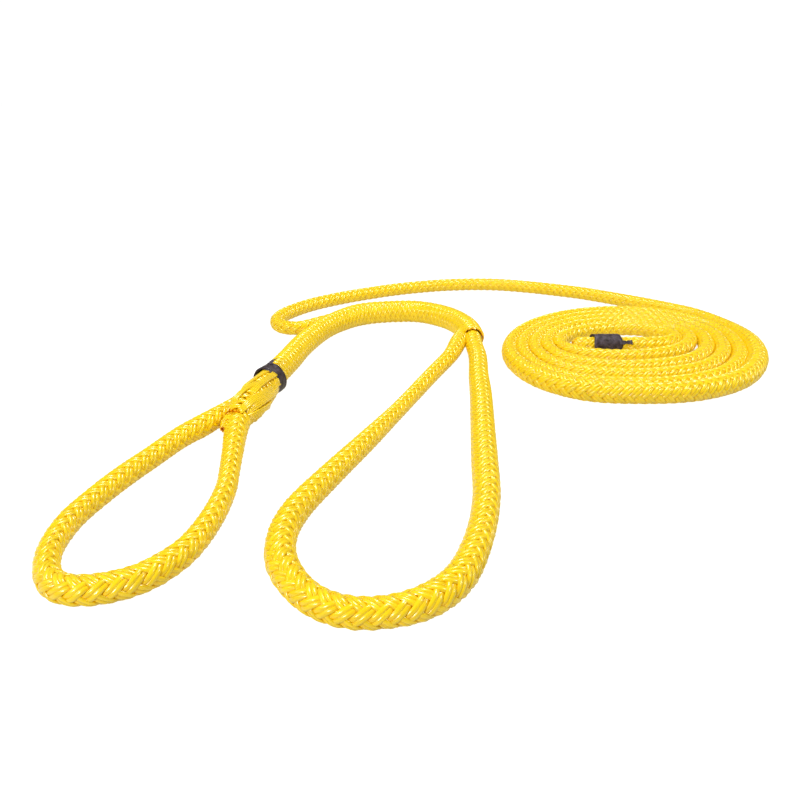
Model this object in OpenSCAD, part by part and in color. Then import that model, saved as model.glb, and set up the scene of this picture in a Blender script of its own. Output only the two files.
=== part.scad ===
// Adjustable tow rope sling: a fixed hand eye, a hollow braided sleeve, a large
// adjustable loop that runs back through the sleeve, and a coiled free tail.
// Millimetres. +Z up, the sling lies on z = 0, and the origin is the middle of
// the sling's own footprint, without its free tail.

/* [Rope] */
// Diameter of the rope where it is neither packed nor stretched
rope_d = 13; // [10:0.5:16]
// Diameter of the running rope where the sleeve squeezes it
core_d = 12.2; // [8:0.1:12.2]
// Thickness of the braid's wall where it is opened into a sleeve
wall = 4.4; // [3:0.1:6]
// Gap between the sleeve's wall and the rope that runs inside it
sleeve_gap = 0.3; // [0.2:0.1:1]

/* [Fixed hand eye] */
// From the throat to the far side of the bow, on the rope's centre line
hand_eye_len = 185; // [150:1:230]
// Widest distance between the centre lines of its two sides
hand_eye_w = 74; // [60:1:100]
// Diameter of the locked splice that closes the eye
splice_d = 21; // [19:0.5:26]
// Diameter of the buried end of the eye's rope where it leaves the splice
taper_d = 11; // [5:0.5:12]

/* [Adjustable loop] */
// From the sleeve's mouth to the far side of the bow, on the centre line
loop_len = 351; // [290:1:430]
// Widest distance between the centre lines of its two sides
loop_w = 102; // [85:1:125]
// How far the collar at the sleeve's mouth swells beyond the sleeve
mouth_bulge = 1.1; // [1.02:0.01:1.2]

/* [Tape bands] */
// Thickness of the wound tape
tape_t = 1.4; // [0.8:0.1:2]
// Width of the band round the eye's throat
throat_band_w = 8; // [6:0.5:12]
// Place of the throat band between the splice's last two points, as a share
throat_band_at = 0.6; // [0.45:0.05:0.7]
// Width of the band near the tail's end
end_band_w = 24; // [18:1:30]
// Width of a band's loose end
tab_w = 4; // [3:0.5:6]
// Length of a band's loose end
tab_len = 7; // [4:0.5:10]

/* [Coiled tail] */
// Mean radius of the outermost turn, on the centre line
coil_r = 114; // [105:1:125]
// How far the coil is drawn out towards its back right, as a share
coil_skew = 0.11; // [0:0.005:0.2]
// How far the coil's two front corners stand out, as a share
coil_corner = 0.065; // [0:0.005:0.1]
// Radius of the rope in the outermost turn, where it lies loose and full
full_turn_r = 8.8; // [7:0.1:9]

/* [Hidden] */
rope_r = rope_d / 2;
core_r = core_d / 2;
splice_r = splice_d / 2;
rear_bore_r = core_r + sleeve_gap;
rear_r = rear_bore_r + wall;
taper_r = taper_d / 2;
front_bore_r = taper_r + sleeve_gap;
front_r = front_bore_r + wall;
exit_r = rope_r + 0.8;
steps = 3;
rope_sides = 14;
sleeve_sides = 20;

// The eye's outline: across as a share of its width, along as a share of its
// length, and the rope's thickness as a share of its diameter.
hand_throat = [-62, -22];
hand_turn = 8.5;
hand_outline = [
    [0.10, 0.10, 1.10], [0.20, 0.25, 1.05], [0.31, 0.40, 1.00], [0.38, 0.50, 1.00],
    [0.43, 0.65, 1.05], [0.42, 0.80, 1.10], [0.33, 0.90, 1.15], [0.20, 0.96, 1.15],
    [0.00, 1.00, 1.15], [-0.20, 1.00, 1.10], [-0.37, 0.95, 1.00], [-0.50, 0.86, 1.00],
    [-0.56, 0.75, 1.05], [-0.56, 0.65, 1.05], [-0.51, 0.50, 1.10], [-0.43, 0.35, 1.10],
    [-0.33, 0.20, 1.15], [-0.20, 0.10, 1.20]];
hand_right_end = 3;
hand_left_start = 14;

loop_throat = [113, 122];
loop_turn = 11.5;
loop_outline = [
    [0.12, 0.10, 1.20], [0.16, 0.20, 1.25], [0.21, 0.30, 1.30], [0.27, 0.45, 1.30],
    [0.33, 0.60, 1.30], [0.37, 0.70, 1.25], [0.37, 0.80, 1.20], [0.32, 0.90, 1.25],
    [0.20, 0.96, 1.25], [0.03, 0.99, 1.15], [-0.16, 1.00, 1.15], [-0.35, 0.98, 1.15],
    [-0.52, 0.93, 1.25], [-0.60, 0.87, 1.25], [-0.61, 0.80, 1.25], [-0.55, 0.70, 1.20],
    [-0.44, 0.55, 1.10], [-0.34, 0.40, 0.95], [-0.20, 0.20, 1.00], [-0.11, 0.10, 1.05]];
loop_right_end = 5;
loop_left_start = 16;

// The sling's middle: the locked splice from the eye's throat, then the sleeve
// over its arch and down to its mouth.
middle_route = [
    [-60, -35], [-56, -20], [-52, 0], [-50, 20], [-48, 40], [-45, 55], [-40, 80],
    [-36, 105], [-30, 130], [-22, 155], [-13, 175], [-1, 192], [12, 204], [28, 211],
    [48, 215], [68, 215], [86, 206], [101, 191], [111, 172], [116, 152], [118, 132]];
splice_bulge = [1.0, 1.08, 1.06, 0.97, 0.95];
sleeve_start = 4;
exit_start = 9;
exit_end = 12;
mouth_start = 19;

// The free tail from the sleeve's side to the coil: x, y, and height as a share
// of the way from lying on the ground up to the sleeve's centre line.
tail_route = [
    [12, 204, 1], [0, 198, 1], [-13, 192, 0.9], [-26, 186, 0.6], [-38, 180, 0.25],
    [-49, 176, 0.05], [-60, 179, 0], [-68, 188, 0], [-71, 201, 0], [-68, 217, 0],
    [-60, 233, 0], [-49, 249, 0], [-34, 265, 0], [-12, 283, 0], [12, 299, 0],
    [40, 315, 0], [70, 328, 0], [104, 338, 0], [138, 342, 0], [170, 340, 0],
    [202, 330, 0], [232, 317, 0], [260, 302, 0], [286, 283, 0], [311, 263, 0],
    [338, 242, 0]];
tail_free = 2;
// Where the tail leaves the sleeve: a straight groove, its start, heading and dip.
exit_from = [16, 206];
exit_turn = 205;
exit_dip = 2;
exit_run = 60;

coil_centre = [261, 130];
// The tail's last run lies across the coil's middle.
last_run_y = 124;
last_run_x = [206, 280];
end_band_x = 237;
coil_top = 2 * full_turn_r;
inner_top = rope_d;

// ---- smooth routes ----

function blend4(a, b, c, d, t) = 0.5 * (2 * b + (c - a) * t + (2 * a - 5 * b + 4 * c - d) * t * t
    + (3 * b - a - 3 * c + d) * t * t * t);
function eased(p, m) = [
    for (i = [0:len(p) - 2]) for (k = [0:m - 1])
        blend4(p[max(i - 1, 0)], p[i], p[i + 1], p[min(i + 2, len(p) - 1)], k / m),
    p[len(p) - 1]];
function fade(x) = let (c = min(1, max(0, x))) c * c * (3 - 2 * c);

// A point of an eye, from its own across and along distances in millimetres.
function placed(throat, turn, across, along) = [
    throat[0] + across * cos(turn) - along * sin(turn),
    throat[1] - across * sin(turn) - along * cos(turn)];
function laid(xy, r, rise) = [xy[0], xy[1], max(r, rise), r];
function settled(p) = [for (q = p) [q[0], q[1], max(q[2], q[3] + 0.02), q[3]]];

function hand_point(q) =
    let (r = rope_r * q[2], lift = fade(1 - q[1] / 0.3))
    laid(placed(hand_throat, hand_turn, q[0] * hand_eye_w, q[1] * hand_eye_len), r,
         r + (splice_r - r) * lift);
hand_path = settled(eased(concat(
    [laid(placed(hand_throat, hand_turn, rope_r * 1.08, -2), rope_r * 1.02, splice_r)],
    [for (q = hand_outline) hand_point(q)],
    [laid(placed(hand_throat, hand_turn, -rope_r * 1.08, 2), rope_r * 1.05, splice_r)]), steps));

function loop_point(q) =
    let (r = rope_r * q[2], lift = fade(1 - q[1] / 0.3))
    laid(placed(loop_throat, loop_turn, q[0] * loop_w, q[1] * loop_len), r,
          r + (rear_r - r) * lift);
running_r = rope_r * 1.18;
standing_r = rope_r * 0.95;
mouth_r = rear_r * mouth_bulge;

// The middle's own points: its height clears whatever is widest there.
band_r = splice_r * splice_bulge[sleeve_start] + 0.05;
middle_z = max(band_r + tape_t, rear_r, splice_r * max(splice_bulge) * 1.02);
middle_path = eased([for (i = [0:len(middle_route) - 1])
    laid(middle_route[i], i <= sleeve_start ? splice_r * splice_bulge[i] : front_r,
         i < mouth_start ? middle_z : mouth_r)], steps);
function middle_turned(first, last, r) = [for (i = [first:last]) laid(
    [middle_path[i][0], middle_path[i][1]], r, middle_path[i][2])];

// The rope that runs: from the coil back along the tail, through the sleeve,
// out of its mouth, round the loop and up to the mouth's side.
mouth_foot = middle_route[mouth_start + 1];
standing_x = mouth_foot[0] - running_r - standing_r - sleeve_gap;
tail_path = settled(eased([for (q = tail_route)
    laid([q[0], q[1]], rope_r, rope_r + (middle_path[0][2] - rope_r) * q[2])], steps));
loop_path = settled(eased(concat(
    [laid(middle_route[mouth_start], core_r, mouth_r),
     laid((middle_route[mouth_start] + mouth_foot) / 2, core_r, mouth_r),
     laid(mouth_foot, running_r, mouth_r), laid([117.5, 112], running_r, mouth_r)],
    [for (q = loop_outline) loop_point(q)],
    [laid([standing_x - 2, 118], standing_r, mouth_r),
     laid([standing_x, 136], standing_r, mouth_r)]), steps));
tail_n = len(tail_path) - 1;
rope_path = concat(
    [for (i = [0:tail_n]) tail_path[tail_n - i]],
    middle_turned(exit_end * steps + 1, mouth_start * steps - 1, core_r),
    loop_path);
core_start = tail_n - tail_free * steps;
core_end = tail_n + (mouth_start - exit_end) * steps;
bow_start = core_end + (loop_right_end + 4) * steps;
bow_end = core_end + (loop_left_start + 4) * steps;

// ---- one round body swept along a route ----

function at(p, i) = [p[i][0], p[i][1], p[i][2]];
function heading(p, i) =
    let (d = at(p, min(i + 1, len(p) - 1)) - at(p, max(i - 1, 0))) d / norm(d);
function ring(p, i, r, n) =
    let (t = heading(p, i), s = cross(t, [0, 0, 1]), side = s / norm(s), up = cross(side, t))
    [for (k = [0:n - 1]) at(p, i) + r * (cos(360 * k / n - 90) * side + sin(360 * k / n - 90) * up)];

// skin and hole are lists of radii, one for each ring from first to last.
module swept(p, first, last, skin, n, hole = []) {
    m = last - first + 1;
    hollow = len(hole) > 0;
    points = concat(
        [for (i = [0:m - 1]) each ring(p, first + i, skin[i], n)],
        hollow ? [for (i = [0:m - 1]) each ring(p, first + i, hole[i], n)] : []);
    o = m * n;
    sides = [for (i = [0:m - 2]) for (k = [0:n - 1]) let (j = (k + 1) % n)
        each [[i * n + k, (i + 1) * n + j, (i + 1) * n + k], [i * n + k, i * n + j, (i + 1) * n + j]]];
    inside = hollow ? [for (f = sides) [f[0] + o, f[2] + o, f[1] + o]] : [];
    b = (m - 1) * n;
    caps = hollow
        ? [for (k = [0:n - 1]) let (j = (k + 1) % n)
            each [[k, o + j, j], [k, o + k, o + j],
                  [b + k, o + b + j, o + b + k], [b + k, b + j, o + b + j]]]
        : [[for (k = [0:n - 1]) n - 1 - k], [for (k = [0:n - 1]) b + k]];
    polyhedron(points, concat(sides, inside, caps), convexity = 10);
}
function own(p, first, last) = [for (i = [first:last]) p[i][3]];
function same(r, first, last) = [for (i = [first:last]) r];

// ---- fixed hand eye ----

hand_last = len(hand_path) - 1;
hand_a = (hand_right_end + 1) * steps;
hand_b = (hand_left_start + 1) * steps;

module hand_eye_right_side() color("gold")
    swept(hand_path, 0, hand_a, own(hand_path, 0, hand_a), rope_sides);
module hand_eye_bow() color("gold")
    swept(hand_path, hand_a, hand_b, own(hand_path, hand_a, hand_b), rope_sides);
module hand_eye_left_side() color("gold")
    swept(hand_path, hand_b, hand_last, own(hand_path, hand_b, hand_last), rope_sides);

sleeve_a = sleeve_start * steps;
module locked_splice() color("goldenrod")
    swept(middle_path, 0, sleeve_a, own(middle_path, 0, sleeve_a), sleeve_sides);

// The eye's own rope end, thinned towards its tip and buried in the sleeve.
buried_end_at = sleeve_a + 4 * steps;
module buried_end() color("orange")
    swept(middle_path, sleeve_a, buried_end_at,
          [for (i = [0:4 * steps]) taper_r * (1 - 0.75 * i / (4 * steps))], rope_sides);

// ---- tape bands ----

tab_gap = 0.1;
band_from = middle_route[sleeve_start - 1];
band_to = middle_route[sleeve_start];
band_at = band_from + throat_band_at * (band_to - band_from);
band_turn = atan2(band_to[0] - band_from[0], band_to[1] - band_from[1]);
band_z = band_r + tape_t;
module throat_band() color("dimgray")
    translate([band_at[0], band_at[1], band_z]) rotate([90, 0, -band_turn])
        difference() {
            cylinder(r = band_r + tape_t, h = throat_band_w, center = true, $fn = 64);
            cylinder(r = band_r, h = throat_band_w + 2, center = true, $fn = 64);
        }
// The loose end stands off the band's upper side and points along the sleeve.
module throat_band_tab() color("dimgray")
    translate([band_at[0], band_at[1], band_z]) rotate([0, 0, -band_turn])
        rotate([0, -20, 0]) translate([-tab_w / 2, throat_band_w / 2, max(band_r, front_r) + tab_gap])
            cube([tab_w, tab_len, tape_t]);

// ---- sleeve ----

exit_a = exit_start * steps;
exit_b = exit_end * steps;
mouth_a = mouth_start * steps;
middle_last = len(middle_path) - 1;
function sleeve_outer(i) = front_r + (rear_r - front_r) * fade((i - exit_a) / (exit_b - exit_a));

module sleeve_front() color("gold")
    swept(middle_path, sleeve_a, exit_a, same(front_r, sleeve_a, exit_a), sleeve_sides,
          same(front_bore_r, sleeve_a, exit_a));
// The strands part on the outer side of the bend, so the way out is an open groove.
module tail_exit() color("goldenrod")
    difference() {
        swept(middle_path, exit_a, exit_b,
              [for (i = [exit_a:exit_b]) sleeve_outer(i)], sleeve_sides);
        translate([exit_from[0], exit_from[1], middle_path[0][2]])
            rotate([0, exit_dip, exit_turn]) {
                rotate([0, 90, 0]) cylinder(r = exit_r, h = exit_run, $fn = 48);
                translate([0, -exit_r - 20, -exit_r]) cube([exit_run, exit_r + 20, 2 * exit_r]);
            }
    }
module sleeve_rear() color("gold")
    swept(middle_path, exit_b, mouth_a, same(rear_r, exit_b, mouth_a), sleeve_sides,
          same(rear_bore_r, exit_b, mouth_a));
module running_core() color("orange")
    swept(rope_path, core_start, core_end, same(core_r, core_start, core_end), rope_sides);
module sleeve_mouth() color("goldenrod")
    swept(middle_path, mouth_a, middle_last,
          [for (i = [mouth_a:middle_last]) i == mouth_a ? rear_r : mouth_r], sleeve_sides,
          same(running_r + sleeve_gap, mouth_a, middle_last));

// ---- adjustable loop ----

rope_last = len(rope_path) - 1;
module loop_running_side() color("gold")
    swept(rope_path, core_end, bow_start, own(rope_path, core_end, bow_start), rope_sides);
module loop_bow() color("gold")
    swept(rope_path, bow_start, bow_end, own(rope_path, bow_start, bow_end), rope_sides);
module loop_standing_side() color("gold")
    swept(rope_path, bow_end, rope_last, own(rope_path, bow_end, rope_last), rope_sides);

// ---- free tail ----

module tail_line() color("gold")
    swept(rope_path, 0, core_start, own(rope_path, 0, core_start), 12);

// The coil's oval at a distance from its middle, fuller at its right front.
function corner(a) = 1 + coil_corner * max(0, -sin(a)) * abs(sin(2 * a)) * (1 + 0.35 * cos(a));
function oval(r, n) = [for (k = [0:n - 1]) let (a = 360 * k / n)
    [coil_centre[0] + r * corner(a) * (cos(a) + coil_skew * sin(a)),
     coil_centre[1] + r * corner(a) * (sin(a) + coil_skew * cos(a))]];
coil_out = coil_r + full_turn_r;
slot_w = 2 * (rope_r + tape_t + 0.4);
module tail_coil() color("gold")
    difference() {
        union() {
            translate([0, 0, 2]) linear_extrude(coil_top - 5) polygon(oval(coil_out, 48));
            linear_extrude(coil_top - 1) polygon(oval(coil_out - 3, 48));
        }
        translate([0, 0, inner_top]) linear_extrude(coil_top) polygon(oval(coil_r - 2 * rope_r, 48));
        translate([last_run_x[0] - 4, last_run_y - slot_w / 2, -1])
            cube([last_run_x[1] - last_run_x[0] + 4, slot_w, coil_top + 2]);
    }
last_run_z = rope_r + tape_t;
module tail_last_run() color("gold")
    translate([last_run_x[0], last_run_y, last_run_z]) rotate([0, 90, 0])
        cylinder(r = rope_r, h = last_run_x[1] - last_run_x[0], $fn = 48);
module end_band() color("dimgray")
    translate([end_band_x, last_run_y, last_run_z]) rotate([0, 90, 0])
        difference() {
            cylinder(r = rope_r + tape_t, h = end_band_w, center = true, $fn = 64);
            cylinder(r = rope_r + 0.05, h = end_band_w + 2, center = true, $fn = 64);
        }
module end_band_tab() color("dimgray")
    translate([end_band_x + end_band_w / 2, last_run_y - tab_w, last_run_z + rope_r + tab_gap])
        cube([tab_len, tab_w, tape_t]);

hand_eye_right_side();
hand_eye_bow();
hand_eye_left_side();
locked_splice();
buried_end();
throat_band();
throat_band_tab();
sleeve_front();
tail_exit();
sleeve_rear();
running_core();
sleeve_mouth();
loop_running_side();
loop_bow();
loop_standing_side();
tail_line();
tail_coil();
tail_last_run();
end_band();
end_band_tab();
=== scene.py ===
import math

import bpy
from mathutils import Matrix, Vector


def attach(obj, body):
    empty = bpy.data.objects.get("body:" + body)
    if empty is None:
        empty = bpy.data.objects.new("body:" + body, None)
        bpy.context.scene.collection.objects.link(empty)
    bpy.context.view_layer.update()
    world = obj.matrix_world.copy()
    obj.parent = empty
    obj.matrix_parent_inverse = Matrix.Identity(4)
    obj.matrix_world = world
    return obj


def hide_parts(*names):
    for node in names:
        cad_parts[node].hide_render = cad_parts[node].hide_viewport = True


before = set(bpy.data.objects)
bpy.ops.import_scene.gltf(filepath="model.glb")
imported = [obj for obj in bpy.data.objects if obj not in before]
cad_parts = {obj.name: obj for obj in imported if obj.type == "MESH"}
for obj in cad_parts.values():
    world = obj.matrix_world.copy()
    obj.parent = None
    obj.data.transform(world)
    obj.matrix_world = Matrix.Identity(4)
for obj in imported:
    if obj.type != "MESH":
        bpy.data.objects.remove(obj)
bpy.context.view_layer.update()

cameraFacts = {"place": (0.0526, -0.4498, 0.2132), "tilt": 65.65, "lens": 30.34}


def placeCamera(facts):
    data = bpy.data.cameras.new("camera")
    data.lens = facts["lens"]
    data.sensor_width = 36
    data.clip_start = 0.01
    made = bpy.data.objects.new("camera", data)
    made.location = facts["place"]
    made.rotation_euler = (math.radians(facts["tilt"]), 0, 0)
    bpy.context.scene.collection.objects.link(made)
    bpy.context.scene.camera = made


placeCamera(cameraFacts)
print("camera placed")

# Every route is a list of (x, y, z, r) in metres: the rope's middle, and its outer radius there.

rope = {"across": 0.013, "lay": 0.0442, "steps": 3}  # lay: one full turn of a strand


def blendFour(a, b, c, d, t):
    return tuple(0.5 * (2 * q + (r - p) * t + (2 * p - 5 * q + 4 * r - s) * t * t
                        + (3 * q - p - 3 * r + s) * t ** 3) for p, q, r, s in zip(a, b, c, d))


def eased(points, steps):
    last = len(points) - 1
    made = [blendFour(points[max(i - 1, 0)], points[i], points[i + 1], points[min(i + 2, last)], k / steps)
            for i in range(last) for k in range(steps)]
    return made + [tuple(points[-1])]


def fade(x):
    c = min(1, max(0, x))
    return c * c * (3 - 2 * c)


def placed(throat, turn, across, along):
    a = math.radians(turn)
    return (throat[0] + across * math.cos(a) - along * math.sin(a),
            throat[1] - across * math.sin(a) - along * math.cos(a))


def settled(points):  # nothing dips below the ground
    return [(x, y, max(z, r + 0.00002), r) for x, y, z, r in points]


def measured(points):  # how far along the route each point lies
    far = [0.0]
    for a, b in zip(points, points[1:]):
        far.append(far[-1] + (Vector(b[:3]) - Vector(a[:3])).length)
    return far


ropeR = rope["across"] / 2
middle = {
    "route": [(-60, -35), (-56, -20), (-52, 0), (-50, 20), (-48, 40), (-45, 55), (-40, 80),
              (-36, 105), (-30, 130), (-22, 155), (-13, 175), (-1, 192), (12, 204), (28, 211),
              (48, 215), (68, 215), (86, 206), (101, 191), (111, 172), (116, 152), (118, 132)],
    "spliceR": 0.0105, "frontR": 0.0102, "rearR": 0.0112, "high": 0.0116,
    "bulge": [0.88, 1.14, 1.12, 1.02, 0.95], "spliceEnd": 4,
    "exitStart": 9, "exitEnd": 12, "mouthStart": 19,
}
tail = {  # x, y in mm, and height as a share of the way up to the sleeve's middle
    "route": [(12, 204, 1), (0, 198, 1), (-13, 192, 0.9), (-26, 186, 0.6), (-38, 180, 0.25),
              (-49, 176, 0.05), (-60, 179, 0), (-68, 188, 0), (-71, 201, 0), (-68, 217, 0),
              (-60, 233, 0), (-49, 249, 0), (-34, 265, 0), (-12, 283, 0), (12, 299, 0),
              (40, 315, 0), (70, 328, 0), (104, 338, 0), (138, 342, 0), (170, 340, 0),
              (202, 330, 0), (232, 317, 0), (260, 302, 0), (286, 283, 0), (311, 263, 0),
              (335, 241, 0), (356, 217, 0)],
}
coil = {  # in rope diameters from its own middle, wound clockwise from the back
    "middle": (0.261, 0.130), "start": 0.2, "end": 4.98, "perTurn": 16, "skew": 0.11, "corner": 0.065,
    "across": (8.98, -0.945), "deep": (8.9, -1.18), "driftX": (-0.32, -0.02), "driftY": (-0.47, 0.25),
    "inward": [(1.15, 3.45), (2.3, 3.1), (3.2, 2.4), (3.5, 1.5), (3.25, 0.55), (2.4, -0.15),
               (1.2, -0.42), (0, -0.46), (-1.3, -0.46), (-2.6, -0.46), (-3.7, -0.46), (-4.1, -0.46)],
}


def coilPlace(x, y):
    return (coil["middle"][0] + x * rope["across"], coil["middle"][1] + y * rope["across"])


def coilPoint(s):
    a = 2 * math.pi * s
    front = max(0, -math.cos(a)) * abs(math.sin(2 * a))  # the front corners stand out
    grow = 1 + coil["corner"] * front * (1 + 0.35 * math.sin(a))
    rx = (coil["across"][0] + coil["across"][1] * s) * grow
    ry = (coil["deep"][0] + coil["deep"][1] * s) * grow
    x = coil["driftX"][0] + coil["driftX"][1] * s + rx * math.sin(a) + coil["skew"] * ry * math.cos(a)
    y = coil["driftY"][0] + coil["driftY"][1] * s + ry * math.cos(a) + coil["skew"] * rx * math.sin(a)
    y += 0.45 * fade((s - 4.1) / 0.3) * fade((4.9 - s) / 0.3)  # the innermost front lies up to the last run
    y -= 0.3 * fade((s - 4.6) / 0.3)
    full = fade((s - 0.14) / 0.14) * fade((0.78 - s) / 0.14)  # the outer turn lies full at its front
    swell = 0.05 * abs(math.cos(a)) + 0.07 * max(0, math.sin(a))  # the turns close up on each other
    r = ropeR * (1.03 + 0.30 * full + swell * (1 - full))
    return coilPlace(x, y) + (r, r)


def tailRoute():
    points = []
    for i, (x, y, up) in enumerate(tail["route"]):
        r = ropeR * (1 + 0.10 * fade((i - 3) / 4))
        points.append((x / 1000, y / 1000, r + (middle["high"] - r) * up, r))
    count = int(round((coil["end"] - coil["start"]) * coil["perTurn"]))
    for i in range(count + 1):
        points.append(coilPoint(coil["start"] + (coil["end"] - coil["start"]) * i / count))
    for i, (x, y) in enumerate(coil["inward"]):
        r = ropeR * (1.10 + 0.10 * fade((i - 2) / 4) - 0.50 * fade(i - 10))  # drawn in at its very end
        points.append(coilPlace(x, y) + (ropeR * (1.12 + 0.14 * fade((i - 2) / 4)), r))
    return settled(eased(points, rope["steps"]))


tailPath = tailRoute()
print("tail route", round(measured(tailPath)[-1], 3), "m")

handEye = {  # across as a share of the width, along as a share of the length, thickness
    "throat": (-62, -22), "turn": 8.5, "long": 185, "wide": 74,
    "outline": [(0.10, 0.10, 1.25), (0.20, 0.25, 1.10), (0.31, 0.40, 1.00), (0.38, 0.50, 1.00),
                (0.43, 0.65, 1.05), (0.42, 0.80, 1.10), (0.33, 0.90, 1.15), (0.20, 0.96, 1.15),
                (0.00, 1.00, 1.15), (-0.20, 1.00, 1.10), (-0.37, 0.95, 1.00), (-0.50, 0.86, 1.00),
                (-0.56, 0.75, 1.05), (-0.56, 0.65, 1.05), (-0.51, 0.50, 1.10), (-0.43, 0.35, 1.10),
                (-0.33, 0.20, 1.15), (-0.20, 0.10, 1.20)],
}
loop = {
    "throat": (113, 122), "turn": 11.5, "long": 351, "wide": 102,
    "hiddenR": 0.0061, "legR": ropeR * 1.18,  # inside the sleeve, and just below its mouth
    "outline": [(0.12, 0.10, 1.20), (0.16, 0.20, 1.25), (0.21, 0.30, 1.30), (0.27, 0.45, 1.30),
                (0.33, 0.60, 1.30), (0.37, 0.70, 1.25), (0.37, 0.80, 1.20), (0.32, 0.90, 1.25),
                (0.20, 0.96, 1.25), (0.03, 0.99, 1.15), (-0.16, 1.00, 1.15), (-0.35, 0.98, 1.15),
                (-0.52, 0.93, 1.25), (-0.60, 0.87, 1.25), (-0.61, 0.80, 1.25), (-0.55, 0.70, 1.20),
                (-0.44, 0.55, 1.10), (-0.34, 0.40, 0.95), (-0.20, 0.20, 1.00), (-0.11, 0.10, 1.05)],
}


def lifted(xy, r, rise):
    return (xy[0] / 1000, xy[1] / 1000, max(r, rise), r)


def eyeRoute(eye, lead, tail, high):
    points = []
    for across, along, thick in eye["outline"]:
        r = ropeR * thick
        lift = fade(1 - along / 0.3)
        xy = placed(eye["throat"], eye["turn"], across * eye["wide"], along * eye["long"])
        points.append(lifted(xy, r, r + (high - r) * lift))
    return settled(eased(lead + points + tail, rope["steps"]))


def handEyeRoute():
    high = middle["spliceR"]
    legs = []  # both legs run on, hidden inside the splice
    for side in (1, -1):
        for across, along in ((0.5, -30), (0.75, -12)):
            xy = placed(handEye["throat"], handEye["turn"], side * across * ropeR * 1000, along)
            legs.append(lifted(xy, ropeR, high))
    return eyeRoute(handEye, legs[:2], legs[:1:-1], high)


def loopRoute():
    high = middle["rearR"] * 1.1
    top, foot = middle["route"][19], middle["route"][20]
    half = ((top[0] + foot[0]) / 2, (top[1] + foot[1]) / 2)
    hiddenR, legR = loop["hiddenR"], loop["legR"]
    standing = foot[0] - ropeR * 2130 - 0.3  # the standing side's x in mm, close beside the running side
    lead = [lifted(top, hiddenR, high), lifted(half, hiddenR, high), lifted(foot, legR, high),
            lifted((117.5, 112), legR, high)]
    end = [lifted((standing - 1, 116), legR, high), lifted((standing + 5, 138), ropeR * 1.05, high),
           lifted((standing + 8, 152), ropeR * 0.9, high)]
    return eyeRoute(loop, lead, end, high)


def middleRoute():
    points = []
    for i, xy in enumerate(middle["route"]):
        if i <= middle["spliceEnd"]:
            r = middle["spliceR"] * middle["bulge"][i]
        else:
            swell = fade((i - middle["exitStart"]) / (middle["exitEnd"] - middle["exitStart"]))
            r = middle["frontR"] + (middle["rearR"] - middle["frontR"]) * swell
        if i == middle["mouthStart"]:
            r *= 1.02  # the mouth's collar
        points.append(lifted(xy, r, max(middle["high"], r * 1.08)))
    return settled(eased(points, rope["steps"]))


def put(tree, kind, values=None, **settings):  # a node, its settings, and its inputs by name or number
    made = tree.nodes.new(kind)
    for name, value in settings.items():
        setattr(made, name, value)
    for key, value in (values or {}).items():
        if isinstance(key, int):
            socket = made.inputs[key]
        else:
            socket = next(s for s in made.inputs if s.name == key and s.enabled)
        if isinstance(value, bpy.types.NodeSocket):
            tree.links.new(value, socket)
        else:
            socket.default_value = value
    return made


def out(made, name=None):
    return next(s for s in made.outputs if s.enabled and (name is None or s.name == name))


def maths(tree, operation, *values):
    return out(put(tree, "ShaderNodeMath", dict(enumerate(values)), operation=operation))


def vectors(tree, operation, *values):
    made = put(tree, "ShaderNodeVectorMath", operation=operation)
    for i, value in enumerate(values):
        socket = made.inputs[3] if operation == "SCALE" and i == 1 else made.inputs[i]
        if isinstance(value, bpy.types.NodeSocket):
            tree.links.new(value, socket)
        else:
            socket.default_value = value
    return out(made)


def apart(tree, a, b):
    made = put(tree, "ShaderNodeVectorMath", {0: a, 1: b}, operation="DISTANCE")
    return out(made, "Value")


def askFor(tree, facts):  # the tree's named inputs, from a list of (name, kind, value)
    for name, kind, value in facts:
        socket = tree.interface.new_socket(name, in_out="INPUT", socket_type=kind)
        if value is not None:
            socket.default_value = value
    tree.interface.new_socket("Geometry", in_out="OUTPUT", socket_type="NodeSocketGeometry")
    return put(tree, "NodeGroupInput")


def named(tree, name, kind="FLOAT"):
    return out(put(tree, "GeometryNodeInputNamedAttribute", {"Name": name}, data_type=kind), "Attribute")


def keep(tree, geometry, name, value, kind="FLOAT", domain="POINT"):
    made = put(tree, "GeometryNodeStoreNamedAttribute", {"Geometry": geometry, "Name": name}, data_type=kind,
               domain=domain)
    tree.links.new(value, next(s for s in made.inputs if s.name == "Value" and s.enabled))
    return out(made)


braidFacts = [
    ("Geometry", "NodeSocketGeometry", None),
    ("Strands each way", "NodeSocketInt", 6),
    ("Yarns in a strand", "NodeSocketInt", 2),
    ("Points along", "NodeSocketInt", 400),
    ("Sides", "NodeSocketInt", 6),
    ("Rise", "NodeSocketFloat", 0.55),       # how far strands go over and under, in yarn radii
    ("Width", "NodeSocketFloat", 1.3),       # a yarn's half width and half height, in yarn radii
    ("Height", "NodeSocketFloat", 0.7),
    ("Pairing", "NodeSocketFloat", 0.9),     # below 1 the yarns of one strand lie closer together
    ("Unevenness", "NodeSocketFloat", 0.05),  # in rope radii
    ("Seed", "NodeSocketInt", 3),
    ("Material", "NodeSocketMaterial", None),
]


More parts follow.
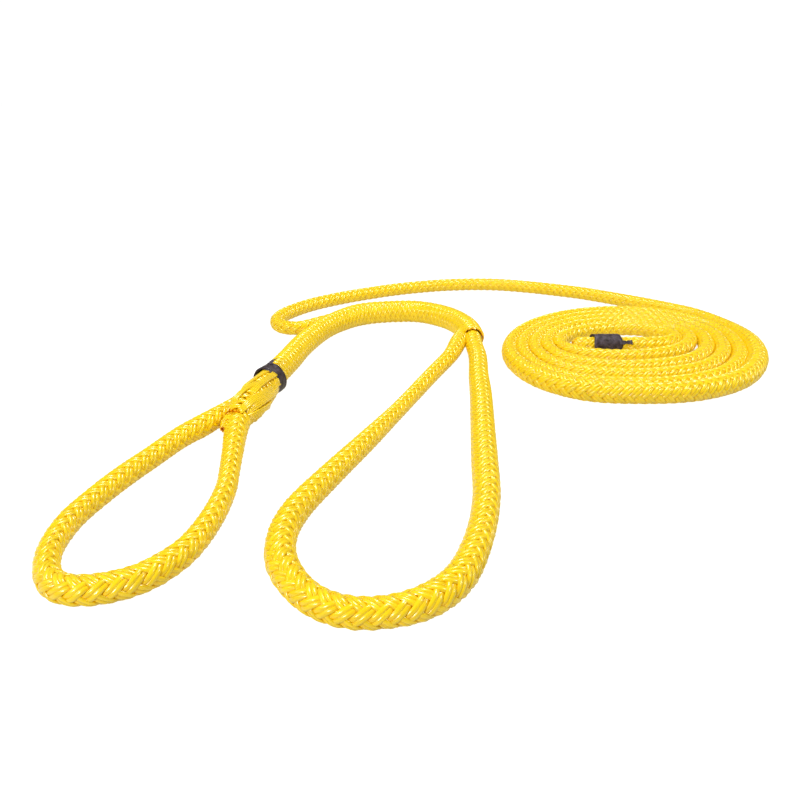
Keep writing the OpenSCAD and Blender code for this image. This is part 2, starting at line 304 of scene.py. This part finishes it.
def braidTree():
    # The route's own points carry lay = (outer radius, turn so far, yarn radius).
    tree = bpy.data.node_groups.new("braid", "GeometryNodeTree")
    ask = askFor(tree, braidFacts)
    strands, yarns = ask.outputs["Strands each way"], ask.outputs["Yarns in a strand"]
    eachWay = maths(tree, "MULTIPLY", strands, yarns)
    route = out(put(tree, "GeometryNodeMeshToCurve", {"Mesh": ask.outputs["Geometry"]}))
    route = out(put(tree, "GeometryNodeSetCurveNormal", {"Curve": route}, mode="Z_UP"))

    # one straight line for each yarn, told its strand and its way round
    line = out(put(tree, "GeometryNodeCurvePrimitiveLine"))
    line = out(put(tree, "GeometryNodeResampleCurve", {"Curve": line, "Count": ask.outputs["Points along"]}))
    spots = out(put(tree, "GeometryNodePoints", {"Count": maths(tree, "MULTIPLY", eachWay, 2)}))
    lines = out(put(tree, "GeometryNodeInstanceOnPoints", {"Points": spots, "Instance": line}))
    index = out(put(tree, "GeometryNodeInputIndex"))
    other = maths(tree, "FLOOR", maths(tree, "DIVIDE", index, eachWay))  # 0 one way, 1 the other
    way = maths(tree, "SUBTRACT", 1.0, maths(tree, "MULTIPLY", other, 2.0))
    inWay = maths(tree, "MODULO", index, eachWay)
    strand = maths(tree, "FLOOR", maths(tree, "DIVIDE", inWay, yarns))
    yarn = maths(tree, "MODULO", inWay, yarns)
    step = maths(tree, "DIVIDE", 2 * math.pi, strands)
    start = maths(tree, "MULTIPLY", maths(tree, "ADD", strand, maths(tree, "MULTIPLY", other, 0.5)), step)
    middleYarn = maths(tree, "MULTIPLY", maths(tree, "SUBTRACT", yarns, 1.0), 0.5)
    fromMiddle = maths(tree, "SUBTRACT", yarn, middleYarn)
    shift = maths(tree, "DIVIDE", maths(tree, "MULTIPLY", fromMiddle, step), yarns)
    shift = maths(tree, "MULTIPLY", shift, ask.outputs["Pairing"])
    lot = put(tree, "ShaderNodeCombineXYZ", {"X": start, "Y": shift, "Z": way})
    lines = keep(tree, lines, "lot", out(lot), "FLOAT_VECTOR", "INSTANCE")
    seed = ask.outputs["Seed"]
    tone = put(tree, "FunctionNodeRandomValue", {"ID": index, "Seed": seed}, data_type="FLOAT")
    lines = keep(tree, lines, "tone", out(tone), "FLOAT", "INSTANCE")
    lines = out(put(tree, "GeometryNodeRealizeInstances", {"Geometry": lines}))

    # each line is laid round the route
    share = out(put(tree, "GeometryNodeSplineParameter"), "Factor")
    sample = put(tree, "GeometryNodeSampleCurve", {"Curves": route, "Factor": share},
                 data_type="FLOAT_VECTOR", mode="FACTOR")
    sampled = next(s for s in sample.inputs if s.name == "Value" and s.enabled)
    tree.links.new(named(tree, "lay", "FLOAT_VECTOR"), sampled)
    lay = put(tree, "ShaderNodeSeparateXYZ", {"Vector": out(sample, "Value")})
    outer, turn, yarnR = lay.outputs
    lot = put(tree, "ShaderNodeSeparateXYZ", {"Vector": named(tree, "lot", "FLOAT_VECTOR")})
    start, shift, way = lot.outputs
    strandAt = maths(tree, "ADD", start, maths(tree, "MULTIPLY", way, turn))
    at = maths(tree, "ADD", strandAt, shift)
    wave = maths(tree, "SINE", maths(tree, "MULTIPLY", strandAt, maths(tree, "DIVIDE", strands, 2.0)))
    wave = maths(tree, "TANH", maths(tree, "MULTIPLY", wave, 1.7))
    high = maths(tree, "MULTIPLY", yarnR, ask.outputs["Rise"])
    rise = maths(tree, "MULTIPLY", high, maths(tree, "MULTIPLY", way, wave))
    layer = maths(tree, "ADD", ask.outputs["Rise"], ask.outputs["Height"])
    base = maths(tree, "SUBTRACT", outer, maths(tree, "MULTIPLY", yarnR, layer))
    far = maths(tree, "ADD", base, rise)
    normal, tangent = out(sample, "Normal"), out(sample, "Tangent")
    side = vectors(tree, "CROSS_PRODUCT", tangent, normal)
    spoke = vectors(tree, "ADD", vectors(tree, "SCALE", normal, maths(tree, "COSINE", at)),
                    vectors(tree, "SCALE", side, maths(tree, "SINE", at)))
    heart = out(sample, "Position")
    place = vectors(tree, "ADD", heart, vectors(tree, "SCALE", spoke, far))
    moved = vectors(tree, "ADD", place, vectors(tree, "SCALE", (0.37, 0.11, 0.71), seed))
    noise = put(tree, "ShaderNodeTexNoise", {"Vector": moved, "Scale": 110.0, "Detail": 1.0})
    loose = vectors(tree, "SCALE", vectors(tree, "SUBTRACT", out(noise, "Color"), (0.5, 0.5, 0.5)),
                    maths(tree, "MULTIPLY", outer, ask.outputs["Unevenness"]))
    place = vectors(tree, "ADD", place, loose)
    lines = keep(tree, lines, "heart", heart, "FLOAT_VECTOR")
    lines = keep(tree, lines, "outer", outer)
    lines = keep(tree, lines, "size", yarnR)
    lines = keep(tree, lines, "spoke", spoke, "FLOAT_VECTOR")
    lines = out(put(tree, "GeometryNodeSetPosition", {"Geometry": lines, "Position": place}))
    lines = keep(tree, lines, "run", out(put(tree, "GeometryNodeSplineParameter"), "Length"))

    # and given its thickness, flat side outwards
    outward = {"Curve": lines, 2: named(tree, "spoke", "FLOAT_VECTOR")}
    lines = out(put(tree, "GeometryNodeSetCurveNormal", outward, mode="FREE"))
    circle = {"Resolution": ask.outputs["Sides"], "Radius": 1.0}
    ringLine = out(put(tree, "GeometryNodeCurvePrimitiveCircle", circle))
    ringPlace = out(put(tree, "GeometryNodeInputPosition"))
    ringLine = keep(tree, ringLine, "round", ringPlace, "FLOAT_VECTOR")
    flatness = {"X": ask.outputs["Height"], "Y": ask.outputs["Width"], "Z": 1.0}
    flat = put(tree, "ShaderNodeCombineXYZ", flatness)
    ringLine = out(put(tree, "GeometryNodeTransform", {"Geometry": ringLine, "Scale": out(flat)}))
    mesh = out(put(tree, "GeometryNodeCurveToMesh", {"Curve": lines, "Profile Curve": ringLine,
                                                     "Scale": named(tree, "size"), "Fill Caps": True}))
    # depth: how far out from the rope's middle a point lies, which the yarn finish turns into painted recess
    # shade and painted crest highlight
    here = out(put(tree, "GeometryNodeInputPosition"))
    fromHeart = apart(tree, here, named(tree, "heart", "FLOAT_VECTOR"))
    depth = maths(tree, "DIVIDE", fromHeart, named(tree, "outer"))
    mesh = keep(tree, mesh, "depth", depth)
    run = out(put(tree, "ShaderNodeCombineXYZ", {"Z": named(tree, "run")}))
    fibre = vectors(tree, "ADD", named(tree, "round", "FLOAT_VECTOR"), run)
    mesh = keep(tree, mesh, "fibre", fibre, "FLOAT_VECTOR")
    for spent in ("heart", "outer", "lot", "round", "size", "run", "lay", "spoke"):
        mesh = out(put(tree, "GeometryNodeRemoveAttribute", {"Geometry": mesh, "Name": spent}))
    mesh = out(put(tree, "GeometryNodeSetShadeSmooth", {"Geometry": mesh}))
    mesh = out(put(tree, "GeometryNodeRealizeInstances", {"Geometry": mesh}))
    mesh = out(put(tree, "GeometryNodeSetMaterial", {"Geometry": mesh, "Material": ask.outputs["Material"]}))
    put(tree, "NodeGroupOutput", {"Geometry": mesh})
    return tree


braid = braidTree()


def baked(name, mesh, tree, values):  # the tree's result as a plain mesh
    carrier = bpy.data.objects.new(name + "Carrier", mesh)
    bpy.context.scene.collection.objects.link(carrier)
    worker = carrier.modifiers.new("nodes", "NODES")
    worker.node_group = tree
    for item in tree.interface.items_tree:
        if item.item_type == "SOCKET" and item.in_out == "INPUT" and item.name in values:
            worker[item.identifier] = values[item.name]
    ready = bpy.context.evaluated_depsgraph_get()
    made = bpy.data.meshes.new_from_object(carrier.evaluated_get(ready), depsgraph=ready)
    carrier.modifiers.remove(worker)
    bpy.data.objects.remove(carrier)
    made.name = name
    piece = bpy.data.objects.new(name, made)
    bpy.context.scene.collection.objects.link(piece)
    return piece


weave = {"strands": 6, "yarns": 2, "sides": 6}  # strands each way, yarns in one, sides of a yarn


def layFacts(points, lay, fill=1.06, turn=0.0):
    # the strand's slope gives the room that each yarn has
    facts = []
    far = measured(points)
    eachWay = weave["strands"] * weave["yarns"]
    for i, (x, y, z, r) in enumerate(points):
        if i:
            turn += 2 * math.pi * (far[i] - far[i - 1]) / lay
        ring = 2 * math.pi * r * 0.74
        slope = math.atan2(ring, lay)
        facts.append((r, turn, 0.5 * fill * lay / eachWay * math.sin(slope)))
    return facts


def routeMesh(name, points, facts):
    mesh = bpy.data.meshes.new(name)
    mesh.from_pydata([p[:3] for p in points], [(i, i + 1) for i in range(len(points) - 1)], [])
    kept = mesh.attributes.new("lay", "FLOAT_VECTOR", "POINT")
    for spot, fact in zip(kept.data, facts):
        spot.vector = fact
    return mesh


def braided(name, points, material, lay=None, perTurn=32, most=190000, **values):
    # a long rope is cut into several pieces that meet ring to ring
    facts = layFacts(points, lay or rope["lay"])
    turns = (facts[-1][1] - facts[0][1]) / (2 * math.pi)
    aroundOnce = 2 * weave["strands"] * weave["yarns"] * 2 * weave["sides"]  # triangles for one step along
    parts = math.ceil(turns * perTurn * aroundOnce / most)
    made = []
    for k in range(parts):
        a = round(k * (len(points) - 1) / parts)
        b = round((k + 1) * (len(points) - 1) / parts)
        share = (facts[b][1] - facts[a][1]) / (2 * math.pi)
        given = {"Strands each way": weave["strands"], "Yarns in a strand": weave["yarns"],
                 "Points along": int(share * perTurn) + 2, "Sides": weave["sides"],
                 "Rise": 0.46, "Width": 1.3, "Height": 0.7, "Pairing": 0.92,
                 "Unevenness": 0.035, "Seed": 3, "Material": material}
        given.update(values)
        label = name if parts == 1 else name + str(k + 1)
        made.append(baked(label, routeMesh(label + "Route", points[a:b + 1], facts[a:b + 1]), braid, given))
    print(name, parts, "piece(s),", sum(len(p.data.polygons) for p in made), "faces")
    return made


def tube(name, points, radius, material, sides=12):  # a plain round body along a route
    vertices, faces = [], []
    n = len(points)
    for i, p in enumerate(points):
        ahead = Vector(points[min(i + 1, n - 1)][:3]) - Vector(points[max(i - 1, 0)][:3])
        side = ahead.cross(Vector((0, 0, 1))).normalized()
        up = side.cross(ahead.normalized())
        r = radius(p, i / (n - 1)) if callable(radius) else radius
        for k in range(sides):
            a = 2 * math.pi * k / sides
            vertices.append(Vector(p[:3]) + (side * math.cos(a) + up * math.sin(a)) * r)
    for i in range(n - 1):
        for k in range(sides):
            j = (k + 1) % sides
            faces.append((i * sides + k, i * sides + j, (i + 1) * sides + j, (i + 1) * sides + k))
    faces.append(tuple(range(sides))[::-1])
    faces.append(tuple((n - 1) * sides + k for k in range(sides)))
    mesh = bpy.data.meshes.new(name)
    mesh.from_pydata(vertices, [], faces)
    mesh.polygons.foreach_set("use_smooth", [True] * len(faces))
    mesh.materials.append(material)
    far = measured(points)  # what the yarn finish reads
    # a depth of 0.97 gives these tubes the yarn's painted crest highlight colour
    depth = mesh.attributes.new("depth", "FLOAT", "POINT")
    depth.data.foreach_set("value", [0.97] * len(vertices))
    tone = mesh.attributes.new("tone", "FLOAT", "POINT")
    tone.data.foreach_set("value", [math.sin(far[-1] * 900) * 0.5 + 0.5] * len(vertices))
    fibre = mesh.attributes.new("fibre", "FLOAT_VECTOR", "POINT")
    for spot, i in zip(fibre.data, range(len(vertices))):
        a = 2 * math.pi * (i % sides) / sides
        spot.vector = (math.cos(a), math.sin(a), far[i // sides])
    made = bpy.data.objects.new(name, mesh)
    bpy.context.scene.collection.objects.link(made)
    return made


def newMaterial(name):
    made = bpy.data.materials.new(name)
    made.use_nodes = True
    made.node_tree.nodes.clear()
    return made, made.node_tree


def ramp(tree, value, stops):
    made = put(tree, "ShaderNodeValToRGB", {"Fac": value})
    elements = made.color_ramp.elements
    while len(elements) < len(stops):
        elements.new(0.5)
    for element, (at, color) in zip(elements, stops):
        element.position = at
        element.color = tuple(color) + (1,)
    return made.outputs["Color"]


# The yarn's colours by depth: the recess colour is painted shade, darker orange where the yarns dip towards
# the rope's middle, and the crest colour is a painted highlight, paler on the yarn tops. The body colour is
# the yarn's own yellow.
yarnLook = {"paintedRecessShade": (0.93, 0.31, 0.0002), "body": (0.97, 0.57, 0.0003), "paintedCrestHighlight": (0.99, 0.70, 0.001),
            "roughness": 0.28, "filaments": 2.4}


def yarnMaterial(look):
    material, tree = newMaterial("yellowYarn")
    depth = put(tree, "ShaderNodeAttribute", attribute_name="depth").outputs["Fac"]
    tone = put(tree, "ShaderNodeAttribute", attribute_name="tone").outputs["Fac"]
    fibre = put(tree, "ShaderNodeAttribute", attribute_name="fibre").outputs["Vector"]
    # painted recess shade through the yarn's own yellow to painted crest highlight, ramped by depth
    color = ramp(tree, depth, [(0.70, look["paintedRecessShade"]), (0.84, look["body"]), (0.99, look["paintedCrestHighlight"])])
    # Fine noise along each yarn lightens and darkens its colour. This is painted filament sheen, with a
    # random tone per yarn added on top.
    thread = put(tree, "ShaderNodeTexNoise", {"Vector": vectors(tree, "MULTIPLY", fibre, (1, 1, 60.0)),
                                              "Scale": look["filaments"], "Detail": 3.0, "Roughness": 0.6})
    along = maths(tree, "MULTIPLY", thread.outputs["Fac"], 0.5)
    paintedSheenAndTone = maths(tree, "ADD", along, maths(tree, "MULTIPLY", tone, 0.12))
    sheenAndToneColor = put(tree, "ShaderNodeHueSaturation", {"Color": color, "Value": maths(tree, "ADD", paintedSheenAndTone, 0.69)})
    bump = put(tree, "ShaderNodeBump", {"Height": thread.outputs["Fac"], "Strength": 0.25,
                                        "Distance": 0.0004})
    shader = put(tree, "ShaderNodeBsdfPrincipled", {"Base Color": out(sheenAndToneColor), "Roughness": look["roughness"],
                                                    "Normal": out(bump), "Specular IOR Level": 0.5,
                                                    "Coat Weight": 0.7, "Coat Roughness": 0.16})
    put(tree, "ShaderNodeOutputMaterial", {"Surface": shader.outputs["BSDF"]})
    return material


# A dark red-orange tube inside the hollow braid: painted shade that stands for the braid's shaded inside,
# seen through the gaps between the yarns.
def shadeTubeMaterial():
    material, tree = newMaterial("ropeShadeTube")
    spot = put(tree, "ShaderNodeTexCoord").outputs["Object"]
    noise = put(tree, "ShaderNodeTexNoise", {"Vector": spot, "Scale": 900.0, "Detail": 2.0})
    color = ramp(tree, noise.outputs["Fac"], [(0.3, (0.55, 0.12, 0.001)), (0.7, (0.85, 0.28, 0.004))])
    shader = put(tree, "ShaderNodeBsdfPrincipled", {"Base Color": color, "Roughness": 0.7})
    put(tree, "ShaderNodeOutputMaterial", {"Surface": shader.outputs["BSDF"]})
    return material


yellowYarn = yarnMaterial(yarnLook)
ropeShadeTube = shadeTubeMaterial()


def tapeMaterial():
    material, tree = newMaterial("darkTape")
    spot = put(tree, "ShaderNodeTexCoord").outputs["Object"]
    wear = put(tree, "ShaderNodeTexNoise", {"Vector": spot, "Scale": 260.0, "Detail": 4.0, "Roughness": 0.6})
    wrinkle = put(tree, "ShaderNodeTexNoise", {"Vector": spot, "Scale": 700.0, "Detail": 3.0})
    color = ramp(tree, wear.outputs["Fac"], [(0.36, (0.022, 0.012, 0.020)), (0.52, (0.050, 0.034, 0.054)),
                                             (0.68, (0.092, 0.070, 0.110))])
    rough = maths(tree, "ADD", maths(tree, "MULTIPLY", wear.outputs["Fac"], 0.3), 0.32)
    bump = put(tree, "ShaderNodeBump", {"Height": wrinkle.outputs["Fac"], "Strength": 0.35,
                                        "Distance": 0.0004})
    shader = put(tree, "ShaderNodeBsdfPrincipled", {"Base Color": color, "Roughness": rough,
                                                    "Normal": out(bump)})
    put(tree, "ShaderNodeOutputMaterial", {"Surface": shader.outputs["BSDF"]})
    return material


darkTape = tapeMaterial()
print("finishes made")


def shadeTubeR(p, share):
    ends = fade(share * 60) * fade((1 - share) * 60)  # hidden at both ends
    return p[3] * (0.2 + 0.32 * ends)


def ropePieces(name, points, nodes, **facts):
    made = braided(name, points, yellowYarn, **facts)
    # the dark tube inside each rope piece is painted shade for its hollow
    core = tube(name + "ShadeTube", points, shadeTubeR, ropeShadeTube)
    for piece in made + [core]:
        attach(piece, "root")
    if nodes:
        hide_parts(*nodes)
    return made, core


throatTape = {  # around is where the loose end leaves, in degrees from the top towards the left
    "spot": (-0.0488, 0.0340, 0.0116), "heading": (0.02, 0.20, 0), "turn": 20, "radius": 0.0106,
    "wide": 0.0102, "turns": 2.3, "thick": 0.0004, "flat": 0.0006,
    "around": 4, "loose": 0.0058, "looseWide": 0.46, "side": 1, "seed": 2.0,
}
endTape = {
    "spot": (0.2370, 0.1241, 0.0088), "heading": (1, 0.03, 0), "turn": 0, "radius": 0.0081,
    "wide": 0.0235, "turns": 2.6, "thick": 0.0004, "flat": 0.0006,
    "around": -62, "loose": 0.0085, "looseWide": 0.20, "side": 1, "seed": 5.0,
}


def ripple(x, y, seed):
    slow = math.sin(x * 2.3 + seed) * math.sin(y * 1.7 + seed * 2.1)
    return slow + 0.5 * math.sin(x * 5.1 + y * 3.3 + seed)


def woundTape(name, facts):
    # a strip wound on itself: each turn lies a thickness further out and a little aslant
    along = Vector(facts["heading"])
    turn = math.radians(facts["turn"])
    along = Vector((along.x * math.cos(turn) + along.y * math.sin(turn),
                    along.y * math.cos(turn) - along.x * math.sin(turn), 0)).normalized()
    left = Vector((0, 0, 1)).cross(along)
    up = Vector((0, 0, 1))
    middleSpot = Vector(facts["spot"])
    layer = facts["thick"] * 1.25
    rings, across = 150, 12
    vertices, faces = [], []
    for i in range(rings + 1):
        t = i / rings
        angle = 2 * math.pi * facts["turns"] * t
        r = facts["radius"] + layer * facts["turns"] * t
        lean = 0.0006 * math.sin(angle * 0.5 + facts["seed"])
        for k in range(across + 1):
            w = k / across - 0.5
            edge = 1 + 0.05 * math.sin(angle * 3 + facts["seed"]) * (abs(w) > 0.49)
            wave = 0.00016 * ripple(angle * 1.6, w * 9, facts["seed"])
            place = middleSpot + along * (w * facts["wide"] * edge + lean)
            place = place + (up * math.cos(angle) + left * math.sin(angle)) * (r + wave)
            place.z = max(place.z, facts["flat"])  # pressed flat where it lies on the ground
            vertices.append(place)
    for i in range(rings):
        for k in range(across):
            a = i * (across + 1) + k
            faces.append((a, a + 1, a + across + 2, a + across + 1))
    # the torn end stands off one edge, twisted and ragged
    first = len(vertices)
    angle = math.radians(facts["around"])
    spoke = up * math.cos(angle) + left * math.sin(angle)
    side = along.cross(spoke)
    r = facts["radius"] + layer * facts["turns"]
    start = middleSpot + along * facts["side"] * (facts["wide"] * 0.5 - 0.002)
    steps, lanes = 14, 6
    for i in range(steps + 1):
        t = i / steps
        waist = 1 - 0.35 * math.sin(math.pi * t) + 0.15 * ripple(t * 9, 0, 1)
        width = facts["wide"] * facts["looseWide"] * waist
        curl = 0.45 * t * t
        for k in range(lanes + 1):
            w = k / lanes - 0.5
            lift = 0.0004 + 0.0016 * math.sin(2.2 * t) + width * w * math.sin(curl)
            torn = 0.0007 * ripple(k * 2.1, 3, facts["seed"]) * (i == steps)
            vertices.append(start + along * facts["side"] * (facts["loose"] + 0.002) * t + along * torn
                            + side * (width * w * math.cos(curl)) + spoke * (r + lift))
    for i in range(steps):
        for k in range(lanes):
            a = first + i * (lanes + 1) + k
            faces.append((a, a + 1, a + lanes + 2, a + lanes + 1))
    mesh = bpy.data.meshes.new(name)
    mesh.from_pydata(vertices, [], faces)
    mesh.polygons.foreach_set("use_smooth", [True] * len(faces))
    mesh.materials.append(darkTape)
    made = bpy.data.objects.new(name, mesh)
    bpy.context.scene.collection.objects.link(made)
    body = made.modifiers.new("thickness", "SOLIDIFY")
    body.thickness = facts["thick"]
    body.offset = 1
    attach(made, "root")
    return made


# The free tail is built before the sling.
endBand = woundTape("endBand", endTape)
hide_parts("end_band", "end_band_tab")
tailBraid, tailShadeTube = ropePieces("tail", tailPath, ["tail_line", "tail_coil", "tail_last_run"])

ropePieces("handEye", handEyeRoute(), ["hand_eye_right_side", "hand_eye_bow", "hand_eye_left_side"])
ropePieces("loop", loopRoute(), ["loop_running_side", "loop_bow", "loop_standing_side"])
middlePath = middleRoute()
tightLay = 0.034  # the opened rope of the splice and sleeve turns faster
cut = middle["spliceEnd"] * rope["steps"]
ropePieces("splice", middlePath[:cut + 1], ["locked_splice", "buried_end"], lay=tightLay,
           **{"Unevenness": 0.16, "Rise": 0.85, "Pairing": 0.8})
throatLock = {  # the eye's own end, tucked between its two legs: x, y, z, r in mm
    "route": [(-54, -8, 11.6, 7.0), (-58, -22, 11.4, 7.2), (-61.5, -32, 10.6, 6.8), (-64.5, -39, 9.2, 5.6),
              (-66.2, -43.5, 7.6, 3.6)],
}
lockPath = eased([tuple(v / 1000 for v in point) for point in throatLock["route"]], rope["steps"])
ropePieces("throatLock", lockPath, [], lay=tightLay)


def crossing(name, facts):  # loose strands that pass over the splice, each a few yarns side by side
    made = []
    for n, (a, b, near, far) in enumerate(facts["strands"]):
        for yarn in range(facts["yarns"]):
            points = []
            for i in range(facts["steps"] + 1):
                t = i / facts["steps"]
                at = (a + (b - a) * t) * cut
                k = min(int(at), cut - 1)
                here = [p + (q - p) * (at - k) for p, q in zip(middlePath[k], middlePath[k + 1])]
                ahead = (Vector(middlePath[k + 1][:3]) - Vector(middlePath[k][:3])).normalized()
                right = ahead.cross(Vector((0, 0, 1))).normalized()
                gather = 1 - 0.35 * math.sin(math.pi * t)
                angle = math.radians(near + (far - near) * t + yarn * facts["apart"] * gather)
                ends = fade(t * 5) * fade((1 - t) * 5)
                r = here[3] - facts["sunk"] + facts["proud"] * ends
                spoke = right * math.sin(angle) + right.cross(ahead) * math.cos(angle)
                points.append(tuple(Vector(here[:3]) + spoke * r) + (facts["thick"],))
            made.append(tube(name + str(n) + str(yarn), points, facts["thick"], yellowYarn, sides=8))
    return made


crossings = {  # share of the splice from and to, degrees from the top to the right from and to
    "strands": [(0.02, 0.62, 22, 58), (0.10, 0.78, 48, 84), (0.04, 0.50, 72, 100), (0.30, 0.92, 6, 30),
                (0.35, 0.90, -40, -8), (0.08, 0.55, -30, 4)],
    "yarns": 4, "steps": 24, "apart": 7.5, "thick": 0.0008, "proud": 0.0016, "sunk": 0.0012,
}
overStrands = crossing("overStrand", crossings)
with bpy.context.temp_override(active_object=overStrands[0], selected_editable_objects=overStrands):
    bpy.ops.object.join()
overStrand = overStrands[0]
overStrand.name = "overStrands"
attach(overStrand, "root")
throatBand = woundTape("throatBand", throatTape)
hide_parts("throat_band", "throat_band_tab")
sleeveNodes = ["sleeve_front", "tail_exit", "sleeve_rear", "sleeve_mouth", "running_core"]
ropePieces("sleeve", middlePath[cut:], sleeveNodes, lay=tightLay)
print("sling done")


def warmWhite(tree, seen):  # white to look at, a little warm in what it throws on the rope
    green = maths(tree, "ADD", 0.96, maths(tree, "MULTIPLY", seen, 0.04))
    blue = maths(tree, "ADD", 0.58, maths(tree, "MULTIPLY", seen, 0.42))
    return put(tree, "ShaderNodeCombineColor", {"Red": 1.0, "Green": green, "Blue": blue}).outputs["Color"]


def floor():
    bpy.ops.mesh.primitive_plane_add(size=30)
    made = bpy.context.object
    made.name = "floor"
    material, tree = newMaterial("paleFloor")
    seen = put(tree, "ShaderNodeLightPath").outputs["Is Camera Ray"]
    glow = maths(tree, "ADD", 0.42, maths(tree, "MULTIPLY", seen, 0.56))
    shader = put(tree, "ShaderNodeBsdfPrincipled", {"Base Color": (0.3, 0.3, 0.3, 1), "Roughness": 0.9,
                                                    "Emission Color": warmWhite(tree, seen),
                                                    "Emission Strength": glow})
    put(tree, "ShaderNodeOutputMaterial", {"Surface": shader.outputs["BSDF"]})
    made.data.materials.append(material)


lights = {  # place, aim, width in metres, watts
    "overhead": ((0.12, 0.30, 1.2), (0.12, 0.05, 0), 0.35, 9.5),
    "frontLeft": ((-0.75, -1.1, 0.75), (0.05, 0, 0), 0.2, 10),
    "left": ((-1.2, -0.2, 0.8), (0, 0, 0), 0.5, 2),
    "right": ((1.3, -0.3, 0.9), (0.1, 0, 0), 0.3, 5),
}


def lightUp(facts, sky):
    for name, (place, aim, wide, watts) in facts.items():
        data = bpy.data.lights.new(name, "AREA")
        data.size = wide
        data.energy = watts
        made = bpy.data.objects.new(name, data)
        made.location = place
        made.rotation_euler = (Vector(aim) - Vector(place)).to_track_quat("-Z", "Y").to_euler()
        bpy.context.scene.collection.objects.link(made)
    world = bpy.data.worlds.new("studio")
    world.use_nodes = True
    tree = world.node_tree
    tree.nodes.clear()
    seen = put(tree, "ShaderNodeLightPath").outputs["Is Camera Ray"]
    strength = maths(tree, "ADD", sky, maths(tree, "MULTIPLY", seen, 1.02 - sky))
    back = put(tree, "ShaderNodeBackground", {"Color": warmWhite(tree, seen), "Strength": strength})
    put(tree, "ShaderNodeOutputWorld", {"Surface": out(back)})
    bpy.context.scene.world = world
    bpy.context.scene.view_settings.view_transform = "Standard"


floor()
lightUp(lights, 0.31)
print("floor and light done")
